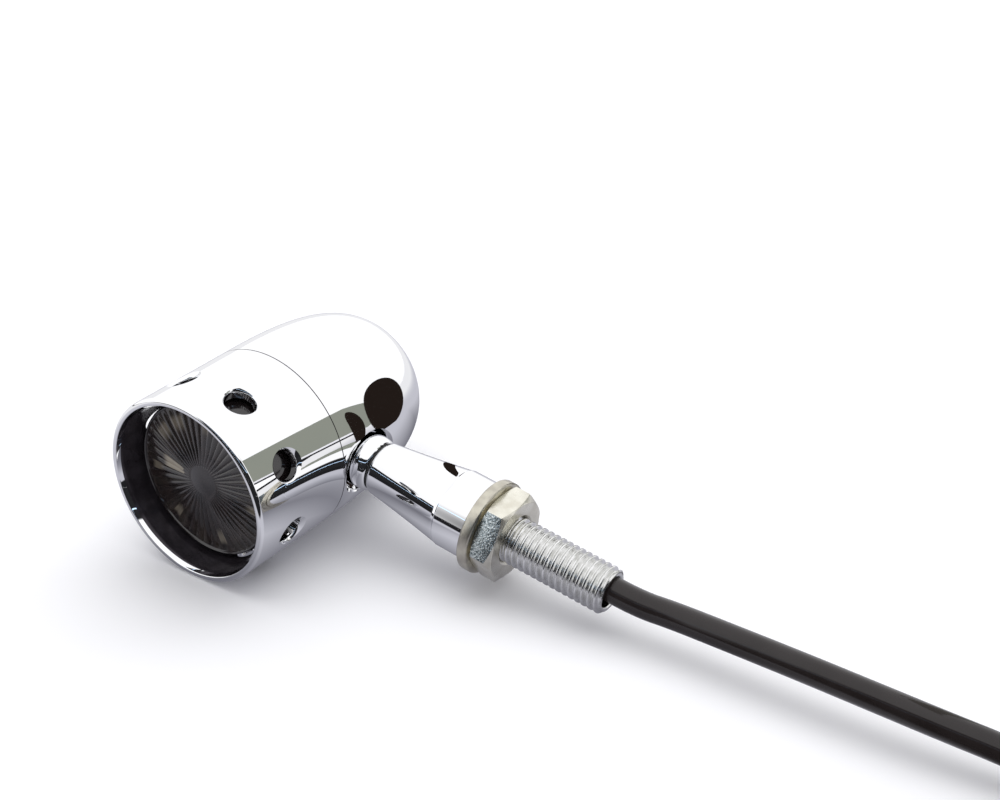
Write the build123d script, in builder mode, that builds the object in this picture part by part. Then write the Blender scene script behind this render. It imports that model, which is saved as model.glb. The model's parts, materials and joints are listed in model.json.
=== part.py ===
from build123d import *
from math import cos, pi, radians, sin, tan
import os

# Chrome bullet turn signal on a swivelling stem, lying on a flat surface. Millimetres.
# The head is turned about its own axis, which runs along Y with the lens at -Y. The stem
# leaves the head's side towards +X and points a little down. The origin is on the surface,
# under the middle of the lamp without its free cable.

# Head
head_r = 20.35               # outside radius of shroud and housing
stem_pitch = 8.4             # degrees that the stem points below level
front_y = -34.3              # places along the head's axis, from the stem's axis
lens_y = -28.6
hole_y = -24.0
ledge_y = -17.0
seam_y = -8.8
dome_y = -5.1
tail_y = 28.6
dome_side_pull = 0.85        # how far the dome keeps straight along its side, and across its tail
dome_tail_pull = 0.70
shroud_bore_r = 18.1
shroud_mouth_r = 18.9
lip_round = 0.9
ledge_r = 17.3
ledge_t = 1.0
hole_r = 3.1
hole_mouth_r = 3.9
hole_count = 8
hole_first = 31.4            # degrees of the first hole, from the stem round to the top

# Lens and light board
lens_r = 17.0
lens_t = 1.6
lens_crown = 0.8             # how far the lens's middle stands out past its rim
flange_t = 1.5
gasket_t = 1.0
spigot_r = 18.05
spigot_y = -13.5
board_r = 15.3
board_t = 1.6
board_y = -13.4
board_seat_r = 15.5
board_ledge_r = 14.5
led_ring_r = 7.6
led_ring_count = 8
led_size = (3.5, 2.8, 1.4)
screw_z = 12.3
screw_r = 1.2
screw_head_r = 2.2
screw_head_t = 1.4
screw_l = 5.5
pillar_r = 2.6
pillar_l = 7.8

# Housing wall, and the neck's seat in it
wall = 2.5
boss_r = 9.4
boss_x = 12.5                # places along the stem's axis, from the head's axis
seat_x = 17.0
neck_seat_r = 6.9
neck_mouth_r = 8.2
bolt_hole_r = 4.05

# Neck and swivel
collar_r = 6.0
collar_end_r = 5.6
collar_end_x = 22.65
collar_taper_x = 20.4
seal_x = 22.7
seal_r = 5.3
stem_x = 23.2
bolt_r = 3.98
bolt_bore_r = 2.6
bolt_head_r = 6.2
bolt_head_t = 2.4
bolt_end_x = 34.0
spring_t = 0.45
swivel_gap = 0.05

# Stem
stem_profile = [(stem_x, 5.8), (28.8, 6.4), (34.0, 7.15), (39.4, 7.87), (42.2, 8.3)]
stem_end_x = 49.55
stem_end_r = 8.45
stem_chamfer = 0.4
flat_offset = 8.05           # wrench flat's distance from the stem's axis
flat_x = 42.35
flat_turn = 23.0             # degrees that the upper flat is turned towards the front
passage_r = 3.5
socket_x = 38.0

# Mounting hardware, M10 x 1.5
stud_r = 4.95
stud_bore_r = 3.4
stud_x = 39.0
stud_end_x = 80.1
stud_chamfer = 0.6
groove_x = 57.4
groove_w = 0.7
groove_r = 4.3
washer_x = 49.65
washer_t = 2.4
washer_r = 10.0
washer_bore_r = 5.25
nut_x = 52.1
nut_t = 5.0                  # so the nut ends at 57.1, short of the groove
nut_flats = 17.0
nut_bore_r = 5.0
nut_turned = 26.3            # degrees of the nut's first corner from the top to the rear

# Cable
cable_r = 2.72
cable_off = (0.35, 0.45)     # how far the cable lies off the bore's axis: back, and up
cable_in_x = 36.2
wire_r = 0.85
wire_apart = 0.95            # each wire's distance from the swivel axis
wire_bend = 6.0
wire_turn_x = 1.5
wire_end_x = 36.0
coil_outer_turn_r = 31.0
coil_pitch = 5.6             # how much smaller each turn of the coil is
coil_turns = 1.2

# The lamp's own directions and planes
reach = stud_end_x * cos(radians(stem_pitch)) + (stud_r - stud_chamfer) * sin(radians(stem_pitch))
pivot = Vector((head_r - reach) / 2, -(front_y + tail_y) / 2, head_r)
along = Vector(cos(radians(stem_pitch)), 0, -sin(radians(stem_pitch)))
rear = Vector(0, 1, 0)
above = Vector(sin(radians(stem_pitch)), 0, cos(radians(stem_pitch)))
head_axis = Axis(pivot, rear)
stem_axis = Axis(pivot, along)
head_section = Plane(pivot, x_dir=rear, z_dir=along)        # x runs back, y is the radius
stem_section = Plane(pivot, x_dir=along, z_dir=-rear)       # x runs along the stem, y is the radius


def across_head(y):
    """Plane square to the head's axis: x along the stem, y up, normal to the front."""
    return Plane(pivot + rear * y, x_dir=along, z_dir=-rear)


def across_stem(x, turn=0.0):
    """Plane square to the stem's axis: x to the rear, turned up by some degrees, normal outwards."""
    sideways = rear * cos(radians(turn)) + above * sin(radians(turn))
    return Plane(pivot + along * x, x_dir=sideways, z_dir=along)


def finish(piece, name):
    """Name a finished piece and write its file."""
    piece.label = name
    export_step(piece, f"parts/{name}.step")


os.makedirs("parts", exist_ok=True)

# ---- Head -------------------------------------------------------------------------

# Front shroud: a tube with a rounded lip, a shallow inner ledge for the lens's flange,
# and a ring of countersunk round holes.
with BuildPart() as front_shroud:
    with BuildSketch(head_section):
        with BuildLine():
            Polyline(
                (front_y, shroud_mouth_r),
                (front_y, head_r - lip_round),
                (front_y + lip_round * 0.3, head_r - lip_round * 0.3),
                (front_y + lip_round, head_r),
                (seam_y, head_r),
                (seam_y, shroud_bore_r),
                (ledge_y + ledge_t, shroud_bore_r),
                (ledge_y + ledge_t, ledge_r),
                (ledge_y, ledge_r),
                (ledge_y, shroud_bore_r),
                (front_y + 0.8, shroud_bore_r),
                close=True,
            )
        make_face()
    revolve(axis=head_axis)
    for number in range(hole_count):
        turn = radians(hole_first + number * 360 / hole_count)
        outward = along * cos(turn) + above * sin(turn)
        with Locations(Plane(pivot + rear * hole_y + outward * head_r, x_dir=rear, z_dir=outward)):
            CounterSinkHole(hole_r, hole_mouth_r, depth=2 * wall)
finish(front_shroud.part, "front_shroud")

# Rear housing: spigot and board seat in front, cylinder, then the bullet's dome. A boss
# inside carries the swivel bolt, and two pillars take the board's screws.
dome_l = tail_y - dome_y
with BuildPart() as rear_housing:
    with BuildSketch(head_section):
        with BuildLine():
            Polyline(
                (tail_y - wall, 0),
                (tail_y, 0),
            )
            Bezier(
                (tail_y, 0),
                (tail_y, dome_tail_pull * head_r),
                (dome_y + dome_side_pull * dome_l, head_r),
                (dome_y, head_r),
            )
            Polyline(
                (dome_y, head_r),
                (seam_y, head_r),
                (seam_y, spigot_r),
                (spigot_y, spigot_r),
                (spigot_y, board_seat_r),
                (board_y + board_t, board_seat_r),
                (board_y + board_t, board_ledge_r),
                (seam_y + wall, board_ledge_r),
                (seam_y + wall, head_r - wall),
                (dome_y, head_r - wall),
            )
            Bezier(
                (dome_y, head_r - wall),
                (dome_y + dome_side_pull * (dome_l - wall), head_r - wall),
                (tail_y - wall, dome_tail_pull * (head_r - wall)),
                (tail_y - wall, 0),
            )
        make_face()
    revolve(axis=head_axis)
    with BuildSketch(across_stem(boss_x)):
        Circle(boss_r)
    extrude(amount=seat_x - boss_x + 0.5)
    with BuildSketch(across_head(board_y + board_t)):
        with Locations((0, screw_z), (0, -screw_z)):
            Circle(pillar_r)
    extrude(amount=-pillar_l)
    with BuildSketch(stem_section):
        with BuildLine():
            Polyline(
                (boss_x - 1, 0),
                (boss_x - 1, bolt_hole_r),
                (seat_x, bolt_hole_r),
                (seat_x, neck_seat_r),
                (head_r - neck_mouth_r + neck_seat_r, neck_seat_r),
                (head_r + 1, neck_mouth_r + 1),
                (head_r + 1, 0),
                close=True,
            )
        make_face()
    revolve(axis=stem_axis, mode=Mode.SUBTRACT)
    with BuildSketch(across_head(board_y + board_t)):
        with Locations((0, screw_z), (0, -screw_z)):
            Circle(screw_r)
    extrude(amount=-pillar_l + 1, mode=Mode.SUBTRACT)
finish(rear_housing.part, "rear_housing")

# Lens: a cup with a slightly crowned front and a flange at its back edge.
flange_y = ledge_y + ledge_t
with BuildPart() as lens:
    with BuildSketch(head_section):
        with BuildLine():
            ThreePointArc(
                (lens_y - lens_crown, 0),
                (lens_y - lens_crown * 0.75, lens_r * 0.5),
                (lens_y, lens_r - 0.6),
            )
            Polyline(
                (lens_y, lens_r - 0.6),
                (lens_y + 0.6, lens_r),
                (flange_y, lens_r),
                (flange_y, shroud_bore_r),
                (flange_y + flange_t, shroud_bore_r),
                (flange_y + flange_t, lens_r - lens_t),
                (lens_y + lens_t, lens_r - lens_t),
                (lens_y + lens_t, 0),
                (lens_y - lens_crown, 0),
            )
        make_face()
    revolve(axis=head_axis)
finish(lens.part, "lens")

# Lens gasket: a flat rubber ring between the lens's flange and the spigot.
with BuildPart() as lens_gasket:
    with BuildSketch(across_head(spigot_y)):
        Circle(spigot_r)
        Circle(board_seat_r, mode=Mode.SUBTRACT)
    extrude(amount=gasket_t)
finish(lens_gasket.part, "lens_gasket")

# Light board, its LEDs, the driver's parts on its back and its two screws.
with BuildPart() as led_board:
    with BuildSketch(across_head(board_y)):
        Circle(board_r)
        with Locations((0, screw_z), (0, -screw_z)):
            Circle(screw_r, mode=Mode.SUBTRACT)
    extrude(amount=-board_t)
finish(led_board.part, "led_board")

with BuildPart() as leds:
    with BuildSketch(across_head(board_y)):
        Rectangle(led_size[0], led_size[1])
        with PolarLocations(led_ring_r, led_ring_count, start_angle=360 / led_ring_count / 2):
            Rectangle(led_size[0], led_size[1])
    extrude(amount=led_size[2])
finish(leds.part, "leds")

with BuildPart() as driver_parts:
    with BuildSketch(across_head(board_y + board_t)):
        with Locations((-7, 4), (-7, 0), (-7, -4)):
            Rectangle(6.3, 3.2)
    extrude(amount=-0.7)
    with BuildSketch(across_head(board_y + board_t)):
        with Locations((6.5, -8.5)):
            Rectangle(4.5, 2.6)
    extrude(amount=-1.2)
finish(driver_parts.part, "driver_parts")

with BuildPart() as board_screws:
    with BuildSketch(across_head(board_y)):
        with Locations((0, screw_z), (0, -screw_z)):
            Circle(screw_head_r)
    extrude(amount=screw_head_t)
    fillet(board_screws.edges().group_by(Axis.Y)[0], 0.6)
    with BuildSketch(across_head(board_y)):
        with Locations((0, screw_z), (0, -screw_z)):
            Circle(screw_r)
    extrude(amount=-screw_l)
finish(board_screws.part, "board_screws")

# ---- Neck -------------------------------------------------------------------------

# Collar: stands in the housing's seat, tapers to the swivel joint and turns with the head.
with BuildPart() as neck_collar:
    with BuildSketch(stem_section):
        with BuildLine():
            Polyline(
                (seat_x, bolt_hole_r + 0.2),
                (seat_x, collar_r),
                (collar_taper_x, collar_r),
                (collar_end_x - 0.25, collar_end_r),
                (collar_end_x, collar_end_r - 0.25),
                (collar_end_x, bolt_hole_r + 0.2),
                close=True,
            )
        make_face()
    revolve(axis=stem_axis)
finish(neck_collar.part, "neck_collar")

# Seal: a flat ring in the groove between the collar and the stem.
with BuildPart() as neck_seal:
    with BuildSketch(across_stem(seal_x)):
        Circle(seal_r)
        Circle(bolt_r + 0.1, mode=Mode.SUBTRACT)
    extrude(amount=stem_x - seal_x)
finish(neck_seal.part, "neck_seal")

# Swivel bolt: hollow for the wires, with a slotted round head inside the housing.
bolt_head_x = boss_x - swivel_gap - spring_t - bolt_head_t
with BuildPart() as swivel_bolt:
    with BuildSketch(across_stem(bolt_head_x)):
        Circle(bolt_head_r)
    extrude(amount=bolt_head_t)
    with BuildSketch(across_stem(bolt_head_x + bolt_head_t)):
        Circle(bolt_r)
    extrude(amount=bolt_end_x - bolt_head_x - bolt_head_t)
    with BuildSketch(across_stem(bolt_head_x)):
        Rectangle(1.6, 2 * bolt_head_r)
    extrude(amount=1.2, mode=Mode.SUBTRACT)
    with BuildSketch(across_stem(bolt_head_x)):
        Circle(bolt_bore_r)
    extrude(amount=bolt_end_x - bolt_head_x, mode=Mode.SUBTRACT)
finish(swivel_bolt.part, "swivel_bolt")

# Spring washer under the bolt's head.
with BuildPart() as spring_washer:
    with BuildSketch(across_stem(bolt_head_x + bolt_head_t)):
        Circle(bolt_head_r - 0.4)
        Circle(bolt_r + 0.1, mode=Mode.SUBTRACT)
    extrude(amount=spring_t)
finish(spring_washer.part, "spring_washer")

# Stem: a taper that widens outwards, then a cylinder with two wrench flats.
with BuildPart() as stem:
    with BuildSketch(stem_section):
        with BuildLine():
            Polyline(
                (stem_x, bolt_r + 0.02),
                (stem_x, stem_profile[0][1] - 0.5),
                (stem_x + 0.15, stem_profile[0][1] - 0.15),
                (stem_x + 0.5, stem_profile[0][1]),
                *stem_profile[1:],
                (stem_profile[-1][0] + 0.25, stem_end_r),
                (stem_end_x - stem_chamfer, stem_end_r),
                (stem_end_x, stem_end_r - stem_chamfer),
                (stem_end_x, stud_r),
                (socket_x, stud_r),
                (socket_x, passage_r),
                (bolt_end_x, passage_r),
                (bolt_end_x, bolt_r + 0.02),
                close=True,
            )
        make_face()
    revolve(axis=stem_axis)
    with BuildSketch(across_stem(flat_x, flat_turn)):
        with Locations((0, flat_offset + stem_end_r / 2), (0, -flat_offset - stem_end_r / 2)):
            Rectangle(2 * stem_end_r, stem_end_r)
    extrude(amount=stem_end_x - flat_x, mode=Mode.SUBTRACT)
finish(stem.part, "stem")

# ---- Mounting hardware ------------------------------------------------------------

# Stud: the M10 thread's outside diameter, with the cable's bore through it. One of the
# thread's grooves is cut all round behind the nut, where the free end starts.
with BuildPart() as mounting_stud:
    with BuildSketch(stem_section):
        with BuildLine():
            Polyline(
                (stud_x, stud_bore_r),
                (stud_x, stud_r),
                (groove_x, stud_r),
                (groove_x, groove_r),
                (groove_x + groove_w, groove_r),
                (groove_x + groove_w, stud_r),
                (stud_end_x - stud_chamfer, stud_r),
                (stud_end_x, stud_r - stud_chamfer),
                (stud_end_x, stud_bore_r),
                close=True,
            )
        make_face()
    revolve(axis=stem_axis)
finish(mounting_stud.part, "mounting_stud")

# Washer with rounded edges.
with BuildPart() as flat_washer:
    with BuildSketch(stem_section):
        with Locations((washer_x + washer_t / 2, (washer_r + washer_bore_r) / 2)):
            RectangleRounded(washer_t, washer_r - washer_bore_r, 0.5)
    revolve(axis=stem_axis)
finish(flat_washer.part, "flat_washer")

# Nut: a hexagon whose corners are turned off to a cone at both faces.
nut_corner_r = nut_flats / 2 / cos(radians(30))
nut_face_r = nut_flats / 2 - 0.15
corner_cut = (nut_corner_r + 1 - nut_face_r) * tan(radians(30))
nut_end_x = nut_x + nut_t
with BuildPart() as hex_nut:
    with BuildSketch(across_stem(nut_x, 90 - nut_turned)):
        RegularPolygon(nut_corner_r, 6)
    extrude(amount=nut_t)
    with BuildSketch(stem_section):
        for face_x, inward in ((nut_x, 1), (nut_end_x, -1)):
            with BuildLine():
                Polyline(
                    (face_x, nut_face_r),
                    (face_x, nut_corner_r + 1),
                    (face_x + inward * corner_cut, nut_corner_r + 1),
                    close=True,
                )
            make_face()
        with BuildLine():
            Polyline(
                (nut_x, 0),
                (nut_x, nut_bore_r + 0.5),
                (nut_x + 0.5, nut_bore_r),
                (nut_end_x - 0.5, nut_bore_r),
                (nut_end_x, nut_bore_r + 0.5),
                (nut_end_x, 0),
                close=True,
            )
        make_face()
    revolve(axis=stem_axis, mode=Mode.SUBTRACT)
finish(hex_nut.part, "hex_nut")

# ---- Cable ------------------------------------------------------------------------

# The sleeve's stretch inside the stem and the stud, off the bore's axis.
with BuildPart() as inner_cable:
    with BuildSketch(across_stem(cable_in_x)):
        with Locations(cable_off):
            Circle(cable_r)
    extrude(amount=stud_end_x - cable_in_x)
finish(inner_cable.part, "inner_cable")

# Two wires from the board's back, round one bend, and along the swivel axis to the sleeve.
for wire_name, side in (("earth_wire", -1), ("signal_wire", 1)):
    lift = above * side * wire_apart
    board_point = pivot + rear * (board_y + board_t) + along * wire_turn_x + lift
    bend_point = pivot + along * wire_turn_x + lift
    sleeve_point = pivot + along * wire_end_x + lift
    with BuildPart() as wire:
        with BuildLine() as wire_path:
            FilletPolyline(board_point, bend_point, sleeve_point, radius=wire_bend)
        with BuildSketch(Plane(board_point, z_dir=rear)):
            Circle(wire_r)
        sweep(path=wire_path.line)
    finish(wire.part, wire_name)


def tube(route, radius, name):
    """A cord's tube: straight runs joined by arcs as large as the runs allow."""
    points = [Vector(p) for p in route]
    runs = [b - a for a, b in zip(points, points[1:])]
    radii = []
    for before, after in zip(runs, runs[1:]):
        half_turn = radians(before.get_angle(after)) / 2
        radii.append(0.45 * min(before.length, after.length) / tan(half_turn))
    with BuildPart() as cord:
        with BuildLine() as path:
            FilletPolyline(*points, radius=radii)
        with BuildSketch(Plane(points[0], z_dir=runs[0])):
            Circle(radius)
        sweep(path=path.line)
    length = sum(edge.length for edge in path.edges())
    print(name, "length", round(length, 2), "mm, radii", [round(r, 1) for r in radii])
    print(name, "volume", round(cord.part.volume, 2), "against", round(pi * radius**2 * length, 2))
    finish(cord.part, name)


# The free cable, from the stud's end to the coil. It leaves in line with the bore, stands
# clear of the surface for most of its length, then comes down and lies on it.
cable_exit = pivot + along * stud_end_x + rear * cable_off[0] + above * cable_off[1]
cable_route = [
    cable_exit,
    cable_exit + along * 6.0,
    (62.4, 3.8, 8.2),
    (73.4, 3.6, 8.4),
    (89.6, 3.4, 8.5),
    (105.5, 3.3, 8.3),
    (117.8, 3.6, 7.8),
    (129.4, 4.5, 7.0),
    (143.5, 5.6, 4.8),
    (158.0, 5.9, cable_r),
]
tube(cable_route, cable_r, "cable")

# The coil: a flat ring that its turns fill, on the surface just beyond the free cable.
coil_middle = Vector(158.0, 5.9 + coil_outer_turn_r, 0)
coil_inner_turn_r = coil_outer_turn_r - coil_pitch * coil_turns
with BuildPart() as cable_coil:
    with BuildSketch(Plane(coil_middle, x_dir=(1, 0, 0), z_dir=(0, 0, 1))):
        Circle(coil_outer_turn_r + cable_r)
        Circle(coil_inner_turn_r - cable_r, mode=Mode.SUBTRACT)
    extrude(amount=2 * cable_r)
    fillet(cable_coil.edges().filter_by(GeomType.CIRCLE), 0.9 * cable_r)
finish(cable_coil.part, "cable_coil")


def by_coil(radius, angle, height):
    """A point by its distance from the coil's middle, its angle and its height."""
    return coil_middle + Vector(radius * cos(radians(angle)), radius * sin(radians(angle)), height)


# The sleeve's heat-shrink end leaves the inner turn, into the coil's hollow.
boot_l = 12.0
boot_r = cable_r
boot_tip_r = 2.1
boot_start = by_coil(coil_inner_turn_r, -18, boot_r)
boot_way = by_coil(19.0, 9, boot_r) - boot_start
boot_way = boot_way.normalized()
with BuildPart() as cable_boot:
    with BuildSketch(Plane(boot_start, z_dir=boot_way)):
        Circle(boot_r)
    with BuildSketch(Plane(boot_start + boot_way * boot_l, z_dir=boot_way)):
        Circle(boot_tip_r)
    loft()
finish(cable_boot.part, "cable_boot")

# Two wire tails, each to its bullet terminal in an insulating sleeve.
tail_side = Vector(-boot_way.Y, boot_way.X, 0)
boot_end = boot_start + boot_way * boot_l
terminal_r = 1.95
terminal_sleeve_r = 2.3
terminal_l = 17.0
terminal_starts = {}
for tail_name, side, turn_point, end_point in (
    ("earth_tail", 1, by_coil(15.4, 26, 2.4), by_coil(8.6, 52, terminal_sleeve_r)),
    ("signal_tail", -1, by_coil(18.0, 32, 2.4), by_coil(13.2, 64, terminal_sleeve_r)),
):
    start = boot_end + tail_side * side * 1.05
    tube([start, turn_point, end_point], wire_r, tail_name)
    terminal_starts[tail_name] = (end_point, (end_point - turn_point).normalized())

with BuildPart() as terminal_sleeves:
    for point, way in terminal_starts.values():
        with BuildSketch(Plane(point, z_dir=Vector(way.X, way.Y, 0))):
            Circle(terminal_sleeve_r)
        extrude(amount=0.6 * terminal_l)
finish(terminal_sleeves.part, "terminal_sleeves")

with BuildPart() as bullet_terminals:
    for point, way in terminal_starts.values():
        level = Vector(way.X, way.Y, 0).normalized()
        with BuildSketch(Plane(point + level * 0.6 * terminal_l, z_dir=level)):
            Circle(terminal_r)
        extrude(amount=0.4 * terminal_l)
finish(bullet_terminals.part, "bullet_terminals")
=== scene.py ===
import json
from math import cos, pi, radians, sin

import bmesh
import bpy
import numpy as np
from mathutils import Matrix, Vector


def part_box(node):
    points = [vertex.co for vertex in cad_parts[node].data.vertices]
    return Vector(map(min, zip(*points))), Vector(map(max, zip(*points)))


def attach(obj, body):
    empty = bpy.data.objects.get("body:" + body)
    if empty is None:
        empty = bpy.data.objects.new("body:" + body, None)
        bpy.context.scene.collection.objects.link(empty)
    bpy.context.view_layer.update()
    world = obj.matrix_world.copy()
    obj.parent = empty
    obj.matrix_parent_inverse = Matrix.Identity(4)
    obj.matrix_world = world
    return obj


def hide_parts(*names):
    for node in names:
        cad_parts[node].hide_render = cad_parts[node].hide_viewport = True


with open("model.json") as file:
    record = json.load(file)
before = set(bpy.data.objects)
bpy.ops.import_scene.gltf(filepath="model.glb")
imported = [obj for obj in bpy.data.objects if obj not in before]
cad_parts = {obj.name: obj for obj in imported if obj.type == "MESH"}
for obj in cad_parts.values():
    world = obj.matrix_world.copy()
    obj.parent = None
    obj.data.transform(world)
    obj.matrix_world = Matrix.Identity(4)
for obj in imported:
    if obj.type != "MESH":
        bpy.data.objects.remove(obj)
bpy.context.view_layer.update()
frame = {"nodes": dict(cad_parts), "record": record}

# Chrome bullet turn signal on a swivelling stem. Profiles below are in millimetres, measured
# along and out from the head's axis or the stem's axis; finished meshes are in metres.

nodes = frame["nodes"]

# ---- Places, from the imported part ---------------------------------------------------

HEAD_R, BORE_R, MOUTH_R = 20.35, 18.1, 18.6
FRONT, LENS_FRONT, HOLE_ROW, LEDGE, SEAM = -34.3, -28.6, -24.0, -17.0, -8.8
SEAM_BEVEL, LIP_R = 0.12, 0.85
DOME_START, TAIL = -5.1, 28.6
DOME_SIDE_PULL, DOME_TAIL_PULL = 0.85, 0.70      # how full the dome is at its side and at its tail
HOLES, HOLE_R, FIRST_HOLE_TURN, FLARE_START = 8, 3.1, 31.4, 19.3
FLUTES, HUB_R = 46, 3.3
STEM_START, TAPER_START, TAPER_END, STEM_END = 23.2, 23.9, 42.2, 49.55
STEM_END_R, FLAT_START, FLAT_OFFSET, FLAT_TURN = 8.45, 42.35, 8.05, 23
WASHER_START, NUT_START, NUT_END, NUT_TURN = 49.65, 52.1, 57.1, 26.3
STUD_R, STUD_END, THREAD_PITCH = 4.95, 80.1, 1.5
CABLE_R = 0.00272                                # metres, like the cable's route

joints = {joint["name"]: joint for joint in frame["record"]["behaviour"]["joints"]}
along = Vector(joints["head_swivel"]["axis"]).normalized()
rear = Vector((0, 1, 0))
above = along.cross(rear)
shroud_low, shroud_high = (Vector(corner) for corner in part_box("front_shroud"))
middle = (shroud_low + shroud_high) / 2
pivot = Vector((middle.x, shroud_high.y - SEAM / 1000, middle.z))


def frame_of(x_axis, y_axis, z_axis):
    """The matrix from millimetres on a piece's own axes to metres in the lamp's frame."""
    turn = Matrix((x_axis, y_axis, z_axis)).transposed().to_4x4()
    return Matrix.Translation(pivot) @ turn @ Matrix.Scale(0.001, 4)


head_frame = frame_of(rear, above, along)        # x runs to the tail
stem_frame = frame_of(along, rear, above)        # x runs out along the stem

# ---- Camera ------------------------------------------------------------------------

view_point = Vector((0.192419, -0.238673, 0.211568))
view_way = Vector((-0.49863, 0.71075, -0.49619))
camera_data = bpy.data.cameras.new("studio_camera")
camera_data.sensor_width = 36
camera_data.lens = 63.78
camera = bpy.data.objects.new("studio_camera", camera_data)
bpy.context.scene.collection.objects.link(camera)
camera.matrix_world = Matrix.Translation(view_point) @ view_way.to_track_quat("-Z", "Y").to_matrix().to_4x4()
bpy.context.scene.camera = camera

# ---- Node trees --------------------------------------------------------------------


class Value:
    """A number in a node tree. Sums and products on it add Math nodes."""

    def __init__(self, tree, socket):
        self.tree, self.socket = tree, socket

    def maths(self, operation, *others, swap=False):
        """One Math node, on this number and the others."""
        terms = [self, *others]
        if swap:
            terms.reverse()
        return self.tree.add("ShaderNodeMath", {"operation": operation}, *terms)

    def __add__(self, other): return self.maths("ADD", other)
    def __radd__(self, other): return self.maths("ADD", other)
    def __sub__(self, other): return self.maths("SUBTRACT", other)
    def __rsub__(self, other): return self.maths("SUBTRACT", other, swap=True)
    def __mul__(self, other): return self.maths("MULTIPLY", other)
    def __rmul__(self, other): return self.maths("MULTIPLY", other)
    def __truediv__(self, other): return self.maths("DIVIDE", other)
    def __abs__(self): return self.maths("ABSOLUTE")

    def least(self, other): return self.maths("MINIMUM", other)
    def most(self, other): return self.maths("MAXIMUM", other)
    def between(self, low, high): return self.most(low).least(high)
    def part(self): return self.maths("FRACT")
    def sine(self): return self.maths("SINE")
    def cosine(self): return self.maths("COSINE")

    def smooth(self, low, high):
        """0 below low, 1 above high, with a soft start and end."""
        step = ((self - low) / (high - low)).between(0.0, 1.0)
        return step * step * (3.0 - 2.0 * step)


class Tree:
    """Adds nodes to a material's, a world's or a Geometry Nodes tree."""

    def __init__(self, tree):
        self.tree = tree

    def connect(self, socket, value):
        """Links a socket to a number or another socket, or sets its plain value."""
        if isinstance(value, Value):
            value = value.socket
        if isinstance(value, bpy.types.NodeSocket):
            self.tree.links.new(value, socket)
        else:
            socket.default_value = value

    def node(self, kind, settings=None, *places, **inputs):
        """A node with its inputs given in their order or by their names."""
        made = self.tree.nodes.new(kind)
        for name, value in (settings or {}).items():
            setattr(made, name, value)
        for socket, value in zip(made.inputs, places):
            self.connect(socket, value)
        for name, value in inputs.items():
            self.connect(made.inputs[name.replace("_", " ")], value)
        return made

    def add(self, kind, settings=None, *places, **inputs):
        """The first output of a new node, as a number."""
        return Value(self, self.node(kind, settings, *places, **inputs).outputs[0])

    def mix(self, factor, first, second):
        """A colour between two colours."""
        made = self.node("ShaderNodeMix", {"data_type": "RGBA"})
        self.connect(made.inputs[0], factor)
        self.connect(made.inputs[6], first)
        self.connect(made.inputs[7], second)
        return made.outputs[2]

    def noise(self, where, size_mm, detail):
        """Noise from 0 to 1 whose grains are about that many millimetres."""
        grains = dict(Scale=1000.0 / size_mm, Detail=detail, Roughness=0.5)
        return self.add("ShaderNodeTexNoise", None, Vector=where, **grains)


def finish_for(name, colours, patch_mm, rough, metallic=0.0, bump=0.0, grain_mm=0.3, **fixed):
    """A procedural finish: two colours in patches, a roughness range and a fine grain."""
    made = bpy.data.materials.new(name)
    made.use_nodes = True
    tree = Tree(made.node_tree)
    shader = made.node_tree.nodes["Principled BSDF"]
    where = tree.node("ShaderNodeTexCoord").outputs["Object"]
    patches = tree.noise(where, patch_mm, 3.0)
    grain = tree.noise(where, grain_mm, 2.0)
    colour, other_colour = ((*one, 1) for one in colours)
    tree.connect(shader.inputs["Base Color"], tree.mix(patches.smooth(0.3, 0.7), colour, other_colour))
    half_range = (rough[1] - rough[0]) * 0.5
    tree.connect(shader.inputs["Roughness"], patches * half_range + grain * half_range + rough[0])
    if bump:
        raised = tree.node("ShaderNodeBump", None, Strength=bump, Distance=0.0001, Height=grain)
        tree.connect(shader.inputs["Normal"], raised.outputs[0])
    shader.inputs["Metallic"].default_value = metallic
    for socket, value in fixed.items():
        shader.inputs[socket.replace("_", " ")].default_value = value
    made.diffuse_color = colour
    return made


polished_chrome = finish_for(
    "polished chrome", ((0.93, 0.935, 0.945), (0.95, 0.95, 0.955)), 9.0, (0.012, 0.035), metallic=1.0)
# Painted shade: a dark metal that stands in for the shade and dark reflections inside the chrome bore and
# seam groove.
painted_shade_metal = finish_for(
    "painted shade in bore and seams", ((0.035, 0.03, 0.036), (0.06, 0.052, 0.062)), 3.0, (0.12, 0.25), metallic=0.6)
zinc_thread = finish_for(
    "bright zinc thread", ((0.86, 0.86, 0.85), (0.72, 0.72, 0.70)), 1.6, (0.12, 0.28), 1.0,
    bump=0.25, grain_mm=0.25)
washer_zinc = finish_for(
    "dull washer zinc", ((0.66, 0.63, 0.53), (0.52, 0.49, 0.42)), 2.2, (0.24, 0.42), 1.0,
    bump=0.2, grain_mm=0.2)
nut_zinc = finish_for(
    "yellowish nut zinc", ((0.88, 0.86, 0.76), (0.74, 0.71, 0.61)), 2.5, (0.22, 0.36), 1.0,
    bump=0.15, grain_mm=0.2)
# The nut's front upper facet: real grain, with light and dark specks that are painted glints and painted dark
# reflections.
grain_and_painted_glint_zinc = finish_for(
    "nut facet grain and painted glints", ((0.84, 0.90, 0.90), (0.16, 0.20, 0.21)), 0.38, (0.12, 0.4), 1.0,
    bump=1.0, grain_mm=0.3)
smoked_lens = finish_for(
    "smoked lens", ((0.009, 0.007, 0.0075), (0.015, 0.011, 0.011)), 4.0, (0.10, 0.18),
    Coat_Weight=0.6, Coat_Roughness=0.05)
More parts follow.
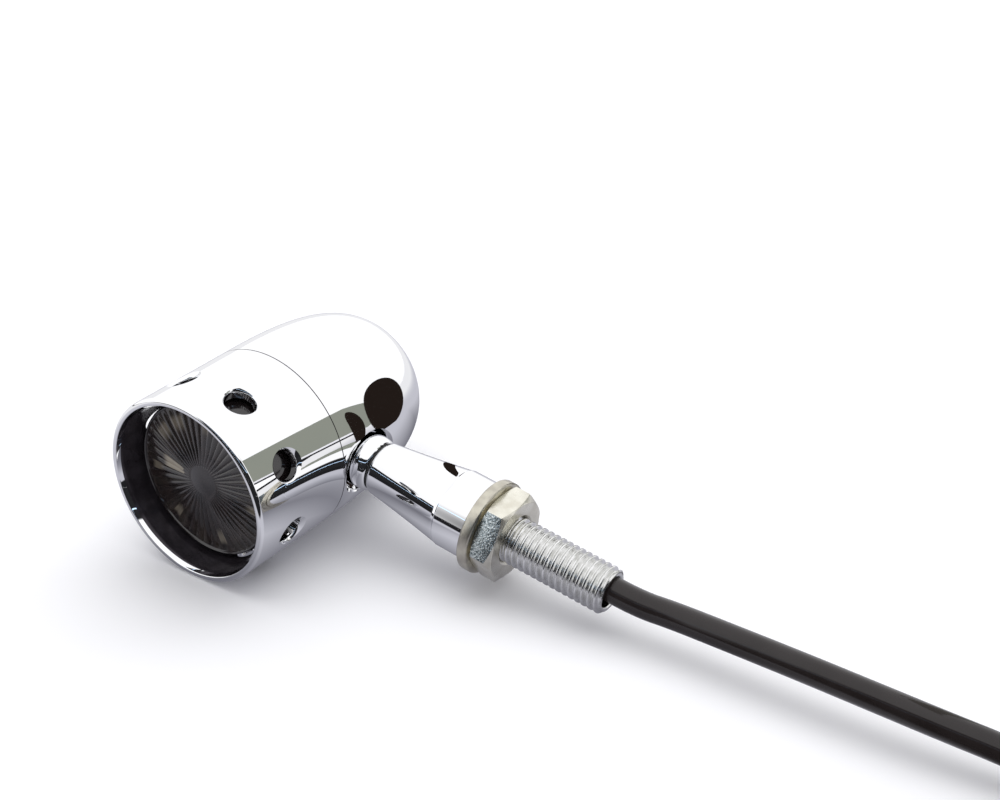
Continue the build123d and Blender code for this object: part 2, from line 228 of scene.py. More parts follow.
# The fluted lens's emission carries painted glints on its flutes.
glint_painted_lens = finish_for(
    "fluted smoked lens", ((0.010, 0.008, 0.008), (0.020, 0.014, 0.013)), 2.5, (0.14, 0.24),
    Coat_Weight=0.6, Coat_Roughness=0.06, Emission_Strength=1.0)
seal_rubber = finish_for(
    "seal rubber", ((0.02, 0.02, 0.02), (0.03, 0.03, 0.03)), 0.8, (0.6, 0.8), bump=0.3, grain_mm=0.1)
cable_pvc = finish_for(
    "glossy black PVC", ((0.014, 0.0105, 0.010), (0.018, 0.014, 0.0135)), 6.0, (0.22, 0.30),
    bump=0.03, grain_mm=0.5, Specular_IOR_Level=0.1, Coat_Weight=0.7, Coat_Roughness=0.05)
board_green = finish_for("green solder mask", ((0.02, 0.10, 0.04), (0.015, 0.075, 0.03)), 1.5, (0.3, 0.45))
led_yellow = finish_for("LED phosphor", ((0.80, 0.55, 0.12), (0.85, 0.80, 0.70)), 1.2, (0.35, 0.5))
chip_black = finish_for(
    "black epoxy", ((0.03, 0.03, 0.032), (0.045, 0.045, 0.047)), 0.6, (0.45, 0.6), bump=0.2, grain_mm=0.1)
bright_steel = finish_for(
    "bright steel", ((0.55, 0.55, 0.56), (0.47, 0.47, 0.48)), 1.0, (0.2, 0.35), 1.0, bump=0.1, grain_mm=0.1)
earth_pvc = finish_for("black wire PVC", ((0.012, 0.012, 0.012), (0.02, 0.02, 0.02)), 1.5, (0.35, 0.45))
signal_pvc = finish_for("orange wire PVC", ((0.72, 0.24, 0.02), (0.62, 0.19, 0.015)), 1.5, (0.35, 0.45))
shrink_black = finish_for(
    "heat-shrink", ((0.02, 0.02, 0.02), (0.03, 0.03, 0.03)), 1.2, (0.45, 0.6), bump=0.3, grain_mm=0.25)
sleeve_clear = finish_for(
    "milky sleeve", ((0.74, 0.74, 0.70), (0.66, 0.66, 0.62)), 2.0, (0.25, 0.35), Alpha=0.75)
terminal_brass = finish_for(
    "bright brass", ((0.78, 0.58, 0.24), (0.66, 0.46, 0.17)), 1.5, (0.15, 0.3), 1.0, bump=0.1, grain_mm=0.15)


def paint_flute_glints(made):
    """Painted highlights: emission makes a few of the flutes look lit inside the lens, most of them at its
    left.
    """
    tree = Tree(made.node_tree)
    spot = tree.node("ShaderNodeSeparateXYZ", None, tree.node("ShaderNodeTexCoord").outputs["Object"])
    across, up = Value(tree, spot.outputs[0]) - pivot.x, Value(tree, spot.outputs[2]) - pivot.z
    radius = (across * across + up * up).maths("SQRT") * 1000.0
    turn = up.maths("ARCTAN2", across) * (180 / pi)
    flute = (turn * (FLUTES / 360)).maths("FLOOR")
    chance = tree.add("ShaderNodeTexWhiteNoise", {"noise_dimensions": "1D"}, W=flute)
    other_chance = tree.add("ShaderNodeTexWhiteNoise", {"noise_dimensions": "1D"}, W=flute + 60.0)
    start = 4.2 + other_chance * 1.5
    # Painted glints on flutes at the left, painted streaks further out and a faint painted haze, all as beige
    # emission.
    painted_facet_glints = abs(turn).smooth(163.0, 167.0) * chance.smooth(0.25, 0.3)
    painted_facet_glints = painted_facet_glints * radius.smooth(start, start + 0.4) * (1.0 - radius.smooth(start + 4.5, start + 6.5))
    painted_streak_glints = other_chance.smooth(0.78, 0.8) * radius.smooth(10.5, 13.0) * (1.0 - radius.smooth(13.6, 15.0))
    painted_haze = radius.smooth(4.0, 15.0) * chance * 0.008
    lit = painted_facet_glints * (0.06 + chance * 0.26) + painted_streak_glints * 0.06 + painted_haze
    glow = tree.mix(lit.between(0.0, 1.0), (0.0, 0.0, 0.0, 1), (1.0, 0.88, 0.70, 1))
    tree.connect(made.node_tree.nodes["Principled BSDF"].inputs["Emission Color"], glow)


paint_flute_glints(glint_painted_lens)

# ---- Making pieces -----------------------------------------------------------------


def arc(x, radius, size_x, size_r, start, end, count):
    """Points of a profile round a corner, from one angle to another in degrees."""
    turns = np.radians(np.linspace(start, end, count))
    return [(x + size_x * cos(turn), radius + size_r * sin(turn)) for turn in turns]


def spin(name, profile, finish, place, segments=160):
    """A piece turned round its own x axis. A profile that starts and ends on the axis closes itself."""
    shape = bmesh.new()
    rings = []
    for x, radius in profile:
        if radius <= 0:
            rings.append([shape.verts.new((x, 0, 0))])
        else:
            turns = (2 * pi * number / segments for number in range(segments))
            rings.append([shape.verts.new((x, radius * cos(turn), radius * sin(turn))) for turn in turns])
    pairs = list(zip(rings, rings[1:]))
    if len(rings[0]) > 1:
        pairs.append((rings[-1], rings[0]))
    for first, second in pairs:
        for number in range(segments):
            after = (number + 1) % segments
            around = ((first, number), (first, after), (second, after), (second, number))
            corners = list(dict.fromkeys(ring[index % len(ring)] for ring, index in around))
            if len(corners) > 2:
                shape.faces.new(corners)
    bmesh.ops.recalc_face_normals(shape, faces=shape.faces)
    return finished(name, shape, finish, place)


def finished(name, shape, finish, place, sharp=28):
    """An object from a bmesh, placed in the lamp's frame, smooth but for its real edges."""
    mesh = bpy.data.meshes.new(name)
    shape.to_mesh(mesh)
    shape.free()
    mesh.transform(place)
    mesh.polygons.foreach_set("use_smooth", [True] * len(mesh.polygons))
    mesh.set_sharp_from_angle(angle=radians(sharp))
    piece = bpy.data.objects.new(name, mesh)
    bpy.context.scene.collection.objects.link(piece)
    for one in finish if isinstance(finish, (list, tuple)) else [finish]:
        mesh.materials.append(one)
    return piece


def settle(piece, sharp=28):
    """Applies a piece's modifiers to its mesh."""
    bpy.context.view_layer.update()
    mesh = bpy.data.meshes.new_from_object(piece.evaluated_get(bpy.context.evaluated_depsgraph_get()))
    piece.modifiers.clear()
    piece.data = mesh
    mesh.polygons.foreach_set("use_smooth", [True] * len(mesh.polygons))
    mesh.set_sharp_from_angle(angle=radians(sharp))


def cut(piece, *tools, operation="DIFFERENCE"):
    """Cuts the tools out of a piece, or keeps what they share."""
    for tool in tools:
        modifier = piece.modifiers.new(tool.name, "BOOLEAN")
        modifier.operation, modifier.solver, modifier.object = operation, "EXACT", tool
    settle(piece)
    for tool in tools:
        bpy.data.objects.remove(tool)


def true_up(piece, place, radius_at, low, high, side=1):
    """Gives the turned surface with those radii, from low to high, its exact normals. Side -1 is a bore."""
    mesh = piece.data
    spots = np.empty(len(mesh.vertices) * 3)
    mesh.vertices.foreach_get("co", spots)
    back = np.array(place.inverted())
    spots = spots.reshape(-1, 3) @ back[:3, :3].T + back[:3, 3]
    x, out = spots[:, 0], np.hypot(spots[:, 1], spots[:, 2])
    close, slack, step, aligned = 0.03, 0.01, 0.02, 0.9
    on = (np.abs(out - radius_at(x)) < close) & (x > low - slack) & (x < high + slack)
    slope = (radius_at(x + step) - radius_at(x - step)) / (2 * step)
    own = np.column_stack((-slope, spots[:, 1] / np.maximum(out, 1e-6), spots[:, 2] / np.maximum(out, 1e-6)))
    own = own @ np.array(place.to_3x3().normalized()).T
    own *= side / np.linalg.norm(own, axis=1)[:, None]
    corners = np.empty(len(mesh.loops) * 3)
    mesh.corner_normals.foreach_get("vector", corners)
    corners = corners.reshape(-1, 3)
    at = np.empty(len(mesh.loops), int)
    mesh.loops.foreach_get("vertex_index", at)
    counts = np.empty(len(mesh.polygons), int)
    mesh.polygons.foreach_get("loop_total", counts)
    facing = np.empty(len(mesh.polygons) * 3)
    mesh.polygons.foreach_get("normal", facing)
    facing = np.repeat(facing.reshape(-1, 3), counts, axis=0)
    good = on[at] & (np.einsum("ij,ij->i", facing, own[at]) > aligned)
    corners[good] = own[at][good]
    mesh.normals_split_custom_set(corners.tolist())


# ---- Head --------------------------------------------------------------------------

# Front shroud: rolled lip, and eight flared holes.
front_shroud = spin("shroud", [
    *arc(FRONT + 0.22, 19.22, 0.22, 0.22, -90, -180, 5),
    *arc(FRONT + LIP_R, HEAD_R - LIP_R, LIP_R, LIP_R, 180, 90, 10),
    (SEAM - SEAM_BEVEL, HEAD_R), (SEAM - 0.04, HEAD_R - 0.04), (SEAM, HEAD_R - 0.3), (SEAM, BORE_R),
    (LEDGE + 1, BORE_R), (LEDGE + 1, 17.3), (LEDGE, 17.3), (LEDGE, BORE_R), (FRONT + 2.2, 18.15),
    (FRONT + 0.9, MOUTH_R),
], [polished_chrome, painted_shade_metal], head_frame, 256)


def flare(x):
    """A hole's radius, at a distance out from the head's axis."""
    return HOLE_R + 0.75 * np.maximum(x - FLARE_START, 0) ** 2


drills, drill_frames = [], []
for number in range(HOLES):
    turn = radians(FIRST_HOLE_TURN + 360 / HOLES * number)
    outward = along * cos(turn) + above * sin(turn)
    drill_frame = frame_of(outward, rear, outward.cross(rear)) @ Matrix.Translation((0, HOLE_ROW, 0))
    flared = [(x, flare(x)) for x in np.linspace(FLARE_START, 20.9, 17)]
    profile = [(15, 0), (15, HOLE_R), *flared, (20.9, 0)]
    drills.append(spin(f"drill_{number}", profile, polished_chrome, drill_frame, 96))
    drill_frames.append(drill_frame)
cut(front_shroud, *drills)
true_up(front_shroud, head_frame, lambda x: HEAD_R + 0 * x, FRONT + LIP_R, SEAM - SEAM_BEVEL)
for drill_frame in drill_frames:
    true_up(front_shroud, drill_frame, flare, 17.5, 20.9, -1)
inside = head_frame.inverted()
# Painted shade: the bore and the seam groove get the dark metal instead of chrome.
for face in front_shroud.data.polygons:
    spot = inside @ face.center
    out = (spot.y ** 2 + spot.z ** 2) ** 0.5
    in_bore = out < MOUTH_R + 0.02 and spot.x < LEDGE + 1.5
    in_seam = out < HEAD_R - 0.01 and spot.x > SEAM - SEAM_BEVEL - 0.01
    face.material_index = int(in_bore or in_seam)


def dome_curve(t, length, start, radius):
    """The dome's profile, from its tail at t = 0 to the side at t = 1."""
    tail = start + length
    weights = (1 - t) ** 3, 3 * (1 - t) ** 2 * t, 3 * (1 - t) * t ** 2, t ** 3
    x = (weights[0] + weights[1]) * tail + weights[2] * (start + DOME_SIDE_PULL * length) + weights[3] * start
    r = weights[1] * DOME_TAIL_PULL * radius + (weights[2] + weights[3]) * radius
    return x, r


# Rear housing: spigot, cylinder and dome, with the neck's chamfered seat.
wall_t = 2.5
steps = np.linspace(0, 1, 61)
dome_l = TAIL - DOME_START
dome_x, dome_r = dome_curve(steps, dome_l, DOME_START, HEAD_R)
hollow_x, hollow_r = dome_curve(steps[::3], dome_l - wall_t, DOME_START, HEAD_R - wall_t)
rear_housing = spin("housing", [
    *zip(dome_x, dome_r),
    (SEAM + SEAM_BEVEL, HEAD_R), (SEAM + 0.04, HEAD_R - 0.04), (SEAM, HEAD_R - 0.3), (SEAM, BORE_R - 0.05),
    (-13.5, BORE_R - 0.05), (-13.5, 15.5), (-11.8, 15.5), (-11.8, 14.5), (-6.3, 14.5),
    (-6.3, HEAD_R - wall_t),
    *reversed(list(zip(hollow_x, hollow_r))),
], [polished_chrome, painted_shade_metal], head_frame, 256)
seat_mill = spin("seat_mill", [
    (13, 0), (13, 4.05), (17, 4.05), (17, 6.9), (18.75, 6.9), (18.95, 6.98), (19.1, 7.12),
    (20.2, 8.2), (24, 12), (24, 0),
], polished_chrome, stem_frame, 128)
cut(rear_housing, seat_mill)
fine_x, fine_r = dome_curve(np.linspace(1, 0, 2000), dome_l, DOME_START, HEAD_R)
true_up(rear_housing, head_frame, lambda x: np.interp(x, fine_x, fine_r), SEAM + SEAM_BEVEL, TAIL)
# Painted shade: the seam groove and spigot face get the dark metal instead of chrome.
for face in rear_housing.data.polygons:
    spot = inside @ face.center
    out = (spot.y ** 2 + spot.z ** 2) ** 0.5
    face.material_index = int(spot.x < SEAM + SEAM_BEVEL + 0.01 and out > BORE_R - 0.06)

# ---- Lens --------------------------------------------------------------------------


def shape_tree(name, **sizes):
    """A Geometry Nodes tree with named number inputs, and what they give inside it."""
    group = bpy.data.node_groups.new(name, "GeometryNodeTree")
    for size, value in sizes.items():
        kind = "NodeSocketInt" if isinstance(value, int) else "NodeSocketFloat"
        socket = group.interface.new_socket(size, in_out="INPUT", socket_type=kind)
        socket.default_value = value
    group.interface.new_socket("Geometry", in_out="OUTPUT", socket_type="NodeSocketGeometry")
    tree = Tree(group)
    given = tree.node("NodeGroupInput")
    return tree, {size: Value(tree, given.outputs[size]) for size in sizes}


def grown(name, tree, geometry, finish, place, sizes, sharp=28):
    """Ends a shape's tree and returns its result as a plain mesh."""
    real = tree.node("GeometryNodeRealizeInstances", None, geometry)
    coated = tree.node("GeometryNodeSetMaterial", None, real.outputs[0])
    coated.inputs["Material"].default_value = finish
    tree.connect(tree.node("NodeGroupOutput").inputs[0], coated.outputs[0])
    mesh = bpy.data.meshes.new(name)
    piece = bpy.data.objects.new(name, mesh)
    bpy.context.scene.collection.objects.link(piece)
    modifier = piece.modifiers.new(name, "NODES")
    modifier.node_group = tree.tree
    for item in tree.tree.interface.items_tree:
        if item.in_out == "INPUT":
            modifier[item.identifier] = sizes[item.name]
    settle(piece, sharp)
    piece.data.name = name
    piece.data.transform(place)
    return piece


def bent_grid(tree, columns, rows, place_at):
    """A grid whose two directions run 0 to 1, put where place_at says."""
    grid = tree.node("GeometryNodeMeshGrid", None, 1.0, 1.0, columns, rows)
    spot = tree.node("ShaderNodeSeparateXYZ", None, tree.node("GeometryNodeInputPosition").outputs[0])
    u, v = Value(tree, spot.outputs[0]) + 0.5, Value(tree, spot.outputs[1]) + 0.5
    where = tree.node("ShaderNodeCombineXYZ", None, *place_at(u, v))
    put = tree.node("GeometryNodeSetPosition", None, Geometry=grid.outputs["Mesh"], Position=where.outputs[0])
    return tree.node("GeometryNodeMergeByDistance", None, Geometry=put.outputs[0], Distance=0.002).outputs[0]


# The fluted face: flutes run from the plain hub to the rim.
crown, face_r, face_x = 0.9, 16.3, LENS_FRONT + 0.35
sizes = dict(Flutes=FLUTES, Hub=HUB_R, Edge=face_r, Depth=0.24, Crown=crown, Front=face_x)
tree, size = shape_tree("lens_flutes", **sizes)


def flute_at(u, v):
    """A point of the face: u runs out from the hub, v once round."""
    radius = size["Hub"] + (size["Edge"] - size["Hub"]) * u
    turn = v * (2 * pi)
    ridge = abs((v * size["Flutes"]).part() - 0.5) * 2.0
    fade = u.smooth(0.0, 0.10) * (1.0 - u.smooth(0.95, 1.0))
    share = radius / size["Edge"]
    x = size["Front"] - (1.0 - share * share) * size["Crown"] + ridge * ridge * fade * size["Depth"]
    return x, radius * turn.cosine(), radius * turn.sine()


fluted = bent_grid(tree, 36, FLUTES * 12 + 1, flute_at)
lens_face = grown("lens_flutes", tree, fluted, glint_painted_lens, head_frame, sizes, 40)
hub_x = face_x - crown * (1 - (HUB_R / face_r) ** 2)
lens_body = spin("lens_plug", [
    (hub_x - 0.25, 0), (hub_x - 0.2, 1.6), (hub_x - 0.02, 3.0), (hub_x + 0.02, HUB_R + 0.02),
    (LENS_FRONT + 0.75, 15.9), (LENS_FRONT + 0.33, 16.25), (LENS_FRONT + 0.1, 16.4), (LENS_FRONT, 16.6),
    (LENS_FRONT + 0.1, 16.8), (LENS_FRONT + 0.6, 17.0), (LEDGE + 1, 17.0), (LEDGE + 1, BORE_R),
    (LEDGE + 2.5, BORE_R), (LEDGE + 2.5, 15.4), (LENS_FRONT + 2.4, 15.4), (LENS_FRONT + 1.6, 0),
], smoked_lens, head_frame, 192)

# ---- Neck and stem -----------------------------------------------------------------

neck_collar = spin("collar", [
    (17.0, 4.3), (17.0, 6.0), (20.0, 6.03), (20.8, 5.98), (21.6, 5.86), (22.2, 5.7), (22.45, 5.58),
    (22.6, 5.42), (22.65, 5.2), (22.65, 4.3),
], polished_chrome, stem_frame)
neck_seal = spin("seal", [
    (22.7, 4.1), (22.7, 5.2), (22.75, 5.26), (23.1, 5.26), (23.15, 5.2), (23.15, 4.1),
], seal_rubber, stem_frame)

taper_x = np.linspace(TAPER_START, TAPER_END, 25)
hollowing = 0.10 * np.sin((taper_x - TAPER_START) / (TAPER_END - TAPER_START) * pi)
taper_r = np.interp(taper_x, (TAPER_START, TAPER_END), (5.78, 8.32)) - hollowing
stem = spin("tapered_stem", [
    (STEM_START, 4.0), (STEM_START, 5.25), (23.25, 5.42), (23.42, 5.6), (23.65, 5.72), *zip(taper_x, taper_r),
    (42.32, 8.4), (42.5, STEM_END_R), (49.2, STEM_END_R), (49.4, 8.4), (49.5, 8.28), (STEM_END, 8.1),
    (STEM_END, STUD_R), (38.0, STUD_R), (38.0, 3.5), (34.0, 3.5), (34.0, 4.0),
], polished_chrome, stem_frame, 192)
flat_cutters = []
cutter_l, cutter_w = 8.0, 30.0
for side in (1, -1):
    block = bmesh.new()
    bmesh.ops.create_cube(block, size=1)
    block.transform(Matrix.Diagonal((cutter_l, cutter_w, cutter_l, 1.0)))
    block.transform(Matrix.Translation((FLAT_START + cutter_l / 2, 0, side * (FLAT_OFFSET + cutter_l / 2))))
    block.transform(Matrix.Rotation(radians(FLAT_TURN), 4, "X"))
    flat_cutters.append(finished(f"flat_cutter_{side}", block, polished_chrome, stem_frame))
cut(stem, *flat_cutters)
true_up(stem, stem_frame, lambda x: np.interp(x, taper_x, taper_r), TAPER_START, TAPER_END)
true_up(stem, stem_frame, lambda x: STEM_END_R + 0 * x, 42.5, 49.2)

# ---- Stud, washer and nut ----------------------------------------------------------

thread_turns, points_round, points_across = 21, 80, 13
sizes = dict(
    Turns=thread_turns, Pitch=THREAD_PITCH, Crest=STUD_R, Depth=0.82, Start=49.7, End=STUD_END, Tip=4.25)
tree, size = shape_tree("stud_thread", **sizes)


def thread_at(u, v):
    """A point of the thread: u runs along all its turns, v across one turn."""
    turns = u * size["Turns"]
    x = (size["Start"] + (turns + v - 1.0) * size["Pitch"]).between(size["Start"], size["End"])
    height = (abs(v - 0.5) * 2.0).smooth(0.04, 0.86)
    radius = (size["Crest"] - (1.0 - height) * size["Depth"]).least(size["Tip"] + (size["End"] - x) * 1.1)
    turn = turns * (2 * pi)
    return x, radius * turn.cosine(), radius * turn.sine()


threaded = bent_grid(tree, thread_turns * points_round + 1, points_across, thread_at)
stud_thread = grown("stud_thread", tree, threaded, zinc_thread, stem_frame, sizes, 60)
stud_core = spin("stud_core", [
    (39.0, 3.4), (39.0, 4.93), (49.4, 4.93), (49.7, 4.0), (79.6, 4.0), (79.9, 4.15), (STUD_END, 4.15),
    (STUD_END, 3.62), (STUD_END - 0.2, 3.42), (STUD_END - 0.4, 3.4),
], zinc_thread, stem_frame, 96)

washer_t, round_x, round_r, bore_round = 2.4, 0.45, 0.45, 0.35
washer_left, washer_right = WASHER_START + round_x, WASHER_START + washer_t - round_x
short = 0.05 * 180 / pi                          # degrees that the rounded edges end before the rim
flat_washer = spin("washer", [
    *arc(washer_left, 9.55, round_x, round_r, 180, 90 + short, 6),
    *arc(washer_right, 9.55, round_x, round_r, 90 - short, 0, 6),
    *arc(washer_right, 5.6, round_x, bore_round, 0, -90 + short, 5),
    *arc(washer_left, 5.6, round_x, bore_round, -90 - short, -180, 5),
], washer_zinc, stem_frame)

# The nut: a hexagon, its corners turned off to a cone at both faces.
across_flats = 17.0
corner_r = across_flats / 2 / cos(pi / 6)
hexagon = bmesh.new()
first_turn = radians(90 - NUT_TURN)
ends = []
for x in (NUT_START, NUT_END):
    corners = (first_turn + number * pi / 3 for number in range(6))
    ends.append([hexagon.verts.new((x, corner_r * cos(turn), corner_r * sin(turn))) for turn in corners])
for number in range(6):
    after = (number + 1) % 6
    hexagon.faces.new((ends[0][number], ends[0][after], ends[1][after], ends[1][number]))
hexagon.faces.new(ends[0])
hexagon.faces.new(ends[1])
bmesh.ops.recalc_face_normals(hexagon, faces=hexagon.faces)
hex_nut = finished("nut", hexagon, [nut_zinc, grain_and_painted_glint_zinc], stem_frame, 10)
turning = spin("nut_turning", [
    (NUT_START, 5.55), (NUT_START, 8.3), (NUT_START + 0.1, 8.36), (NUT_START + 0.85, 9.85),
    (NUT_END - 0.85, 9.85), (NUT_END - 0.1, 8.36), (NUT_END, 8.3), (NUT_END, 5.55), (NUT_END - 0.5, 5.0),
    (NUT_START + 0.5, 5.0),
], nut_zinc, stem_frame, 192)
cut(hex_nut, turning, operation="INTERSECT")
# Only the front upper facet gets the grain with painted glints.
facing_in = stem_frame.inverted().to_3x3().normalized()
for face in hex_nut.data.polygons:
    way = facing_in @ face.normal
    turn = np.degrees(np.arctan2(way.y, way.z))
    face.material_index = int(abs(way.x) < 0.05 and abs(turn - (NUT_TURN - 90)) < 5)
softened = hex_nut.modifiers.new("softened edges", "BEVEL")
softened.width, softened.segments, softened.angle_limit = 0.00012, 2, radians(18)
settle(hex_nut, 40)

# ---- Cable -------------------------------------------------------------------------

cable_exit = pivot + (along * STUD_END + rear * 0.35 + above * 0.45) / 1000
route = [
    tuple(cable_exit),
    tuple(cable_exit + along * 0.006),
    (0.0624, 0.0038, 0.0082),
    (0.0734, 0.0036, 0.0084),
    (0.0896, 0.0034, 0.0085),
    (0.1055, 0.0033, 0.0083),
    (0.1178, 0.0036, 0.0078),
    (0.1294, 0.0045, 0.0070),
    (0.1435, 0.0056, 0.0048),
]
coil_turn_r, coil_step, coil_turns = 0.031, 0.0056, 1.2
coil_middle = Vector((0.158, 0.0059 + coil_turn_r, CABLE_R))
for turns in np.linspace(0, coil_turns, 30):
    turn = 2 * pi * turns - pi / 2
    route.append(tuple(coil_middle + Vector((cos(turn), sin(turn), 0)) * (coil_turn_r - coil_step * turns)))
curve = bpy.data.curves.new("supply_cable", "CURVE")
curve.dimensions = "3D"
spline = curve.splines.new("NURBS")
spline.points.add(len(route) - 1)
for point, spot in zip(spline.points, route):
    point.co = (*spot, 1)
spline.order_u = 3
spline.use_endpoint_u = True
spline.resolution_u = 10
curve.bevel_depth = CABLE_R
curve.bevel_resolution = 10
curve.use_fill_caps = True
cable = bpy.data.objects.new("supply_cable", curve)
bpy.context.scene.collection.objects.link(cable)
curve.materials.append(cable_pvc)

# ---- Bodies, and what stands for what ----------------------------------------------

for piece, body, slot, *stands_for in (
    (front_shroud, "head", "chrome", "front_shroud"),
    (rear_housing, "head", "chrome", "rear_housing"),
    (lens_body, "head", "smoked_lens", "lens"),
    (lens_face, "head", "smoked_lens"),
    (neck_collar, "head", "chrome", "neck_collar"),
    (neck_seal, "arm", "seal_rubber", "neck_seal"),
    (stem, "arm", "chrome", "stem"),
    (stud_thread, "arm", "zinc_plate", "mounting_stud"),
    (stud_core, "arm", "zinc_plate"),
    (flat_washer, "washer", "washer_zinc", "flat_washer"),
    (hex_nut, "nut", "nut_zinc", "hex_nut"),
    (cable, "arm", "cable_sleeve", "cable", "cable_coil"),
):
    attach(piece, body)
    if stands_for:
        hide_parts(*stands_for)

kept_finishes = {
    "lens_gasket": seal_rubber, "led_board": board_green, "leds": led_yellow, "driver_parts": chip_black,
    "board_screws": bright_steel, "swivel_bolt": bright_steel, "spring_washer": bright_steel,
    "inner_cable": cable_pvc, "earth_wire": earth_pvc, "signal_wire": signal_pvc, "cable_boot": shrink_black,
    "earth_tail": earth_pvc, "signal_tail": signal_pvc, "terminal_sleeves": sleeve_clear,
    "bullet_terminals": terminal_brass,
}
for name, finish in kept_finishes.items():
    nodes[name].data.materials.clear()
    nodes[name].data.materials.append(finish)

# ---- Studio ------------------------------------------------------------------------


def card(name, corners, colour, per_face=4):
    """A flat studio card that only shows in reflections. Its colour may be a function of a node tree."""
    mesh = bpy.data.meshes.new(name)
    faces = [list(range(first, first + per_face)) for first in range(0, len(corners), per_face)]
    mesh.from_pydata(corners, [], faces)
    piece = bpy.data.objects.new(name, mesh)
    bpy.context.scene.collection.objects.link(piece)
    made = bpy.data.materials.new(name)
    made.use_nodes = True
    made.node_tree.nodes.clear()
    tree = Tree(made.node_tree)
    glow = tree.node("ShaderNodeEmission", None, colour(tree) if callable(colour) else (*colour, 1), 1.0)
    tree.connect(tree.node("ShaderNodeOutputMaterial").inputs[0], glow.outputs[0])
    piece.visible_camera = piece.visible_diffuse = piece.visible_shadow = False
    mesh.materials.append(made)


def wall(name, distance, low_turn, high_turn, low, high, colour, parts=12):
    """An upright curved card round the lamp."""
    corners = []
    turns = np.radians(np.linspace(low_turn, high_turn, parts + 1))
    for one, two in zip(turns, turns[1:]):
        for turn, height in ((one, low), (two, low), (two, high), (one, high)):
            corners.append((distance * cos(turn), distance * sin(turn), height))
    card(name, corners, colour)


def beside(*spots):
    """Points given from the lamp's axes, in millimetres, with their heights above the table."""
    return [(pivot.x + x / 1000, pivot.y + y / 1000, z / 1000) for x, y, z in spots]


table = bpy.data.meshes.new("table")
table.from_pydata([(-0.9, -0.7, 0), (0.7, -0.7, 0), (0.7, 0.7, 0), (-0.9, 0.7, 0)], [], [(0, 1, 2, 3)])
table.materials.append(finish_for(
    "table", ((0.93, 0.93, 0.94), (0.92, 0.92, 0.93)), 40.0, (0.6, 0.65), Specular_IOR_Level=0.1))
table_top = bpy.data.objects.new("table", table)
bpy.context.scene.collection.objects.link(table_top)


def table_painted_shade(tree):
    """Painted shade for the table as the chrome reflects it: lavender-grey near the lamp, paler further out,
    and near-black from about 80 mm towards the front.
    """
    spot = tree.node("ShaderNodeSeparateXYZ", None, tree.node("ShaderNodeTexCoord").outputs["Object"])
    x, y = Value(tree, spot.outputs[0]) - pivot.x, Value(tree, spot.outputs[1]) - pivot.y
    from_head = abs(x).most(abs(y) - 0.03)
    from_stem = abs(y).most(x - 0.1).most(0.0 - x) + 0.012
    nearest = from_head.least(from_stem)
    # Painted shade near the head and the stem.
    shade = tree.mix(nearest.smooth(0.004, 0.040), (0.17, 0.17, 0.20, 1), (0.56, 0.56, 0.62, 1))
    open_sheet = tree.mix(nearest.smooth(0.05, 0.13), shade, (0.88, 0.88, 0.90, 1))
    return tree.mix((x * 0.5 - y * 0.86).smooth(0.075, 0.085), open_sheet, (0.015, 0.015, 0.017, 1))


low = 0.0003
near_black = (0.01, 0.01, 0.012)
# A card that only reflections see, with the table's shade painted on it.
card("table_shade_painted_in_chrome", [(-0.8, -0.6, low), (0.6, -0.6, low), (0.6, 0.6, low), (-0.8, 0.6, low)], table_painted_shade)
for name, x, colour, below, above_at_left, end_low, end_high in (
    ("green_grey_card", 128, (0.275, 0.29, 0.25), 55, 153, 107, 173),
    ("card_edge", 127, near_black, 47, 51, 98, 102),
    ("light_edge", 127, (0.9, 0.9, 0.95), 51, 55, 102, 107),
):
    card(name, beside((x, 40, below), (x, end_low, 0.5), (x, end_high, 0.5), (x, 40, above_at_left)), colour)
wall("dark_line", 0.70, -200, 62, 0.0, 0.022, near_black, 24)
wall("light_blue_line", 0.60, -140, -5, 0.295, 0.315, (1.0, 1.35, 1.8))


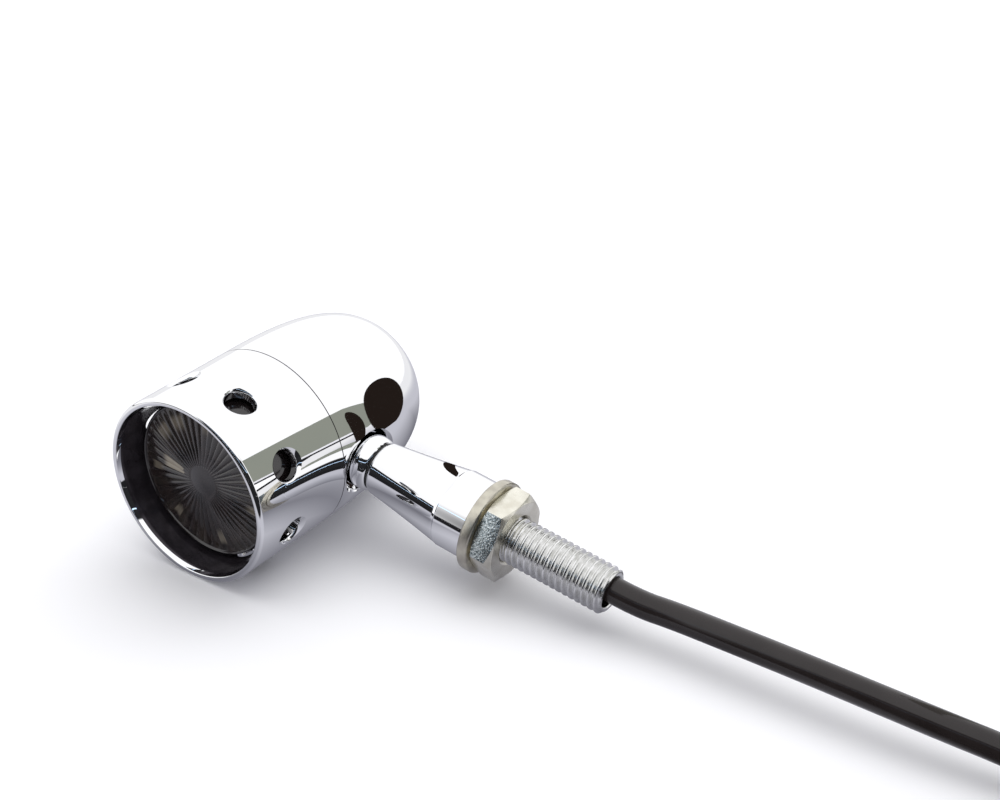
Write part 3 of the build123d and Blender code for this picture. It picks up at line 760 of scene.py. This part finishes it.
def dark_oval(name, middle, turn, half_width, half_height):
    """An upright dark oval beside the stem that shows in the dome. Turn is the way it faces."""
    side = Vector((-sin(radians(turn)), cos(radians(turn)), 0))
    corners = []
    for step in np.linspace(0, 2 * pi, 32, endpoint=False):
        spot = Vector(middle) + side * (half_width * cos(step))
        corners.append((spot.x, spot.y, max(0.5, spot.z + half_height * sin(step))))
    card(name, beside(*corners), (0.016, 0.011, 0.009), len(corners))


dark_oval("dark_oval", (50.3, 52.2, 25), 54, 14.3, 27)
dark_oval("dark_lobe", (33.7, 10.4, 26), 0, 2.7, 10)

world = bpy.data.worlds.new("studio")
bpy.context.scene.world = world
world.use_nodes = True
world.node_tree.nodes.clear()
tree = Tree(world.node_tree)
way = tree.node("ShaderNodeSeparateXYZ", None, tree.node("ShaderNodeTexCoord").outputs["Generated"])
height = Value(tree, way.outputs[2])
forward = Value(tree, way.outputs[0]) * 0.64 - Value(tree, way.outputs[1]) * 0.77
front_dim = forward.smooth(0.35, 0.5) * (1.0 - height.smooth(0.60, 0.64))
tent = tree.mix(front_dim, (1.10, 1.10, 1.12, 1), (0.02, 0.02, 0.022, 1))
seen = tree.node("ShaderNodeLightPath")
tent = tree.mix(seen.outputs["Is Diffuse Ray"], tent, (0.66, 0.66, 0.685, 1))
tent = tree.mix(seen.outputs["Is Camera Ray"], tent, (0.99, 0.99, 0.99, 1))
light = tree.node("ShaderNodeBackground", None, tent, 1.0)
tree.connect(tree.node("ShaderNodeOutputWorld").inputs[0], light.outputs[0])

softbox_data = bpy.data.lights.new("top_softbox", "AREA")
softbox_data.shape = "RECTANGLE"
softbox_data.size, softbox_data.size_y, softbox_data.energy = 1.2, 0.9, 5.0
softbox = bpy.data.objects.new("top_softbox", softbox_data)
bpy.context.scene.collection.objects.link(softbox)
softbox_spot, softbox_aim = Vector((-0.06, 0.16, 0.75)), Vector((0.02, 0.0, 0.0))
softbox_turn = (softbox_aim - softbox_spot).to_track_quat("-Z", "Y").to_matrix().to_4x4()
softbox.matrix_world = Matrix.Translation(softbox_spot) @ softbox_turn
softbox.visible_glossy = False
bpy.context.scene.view_settings.view_transform = "Standard"
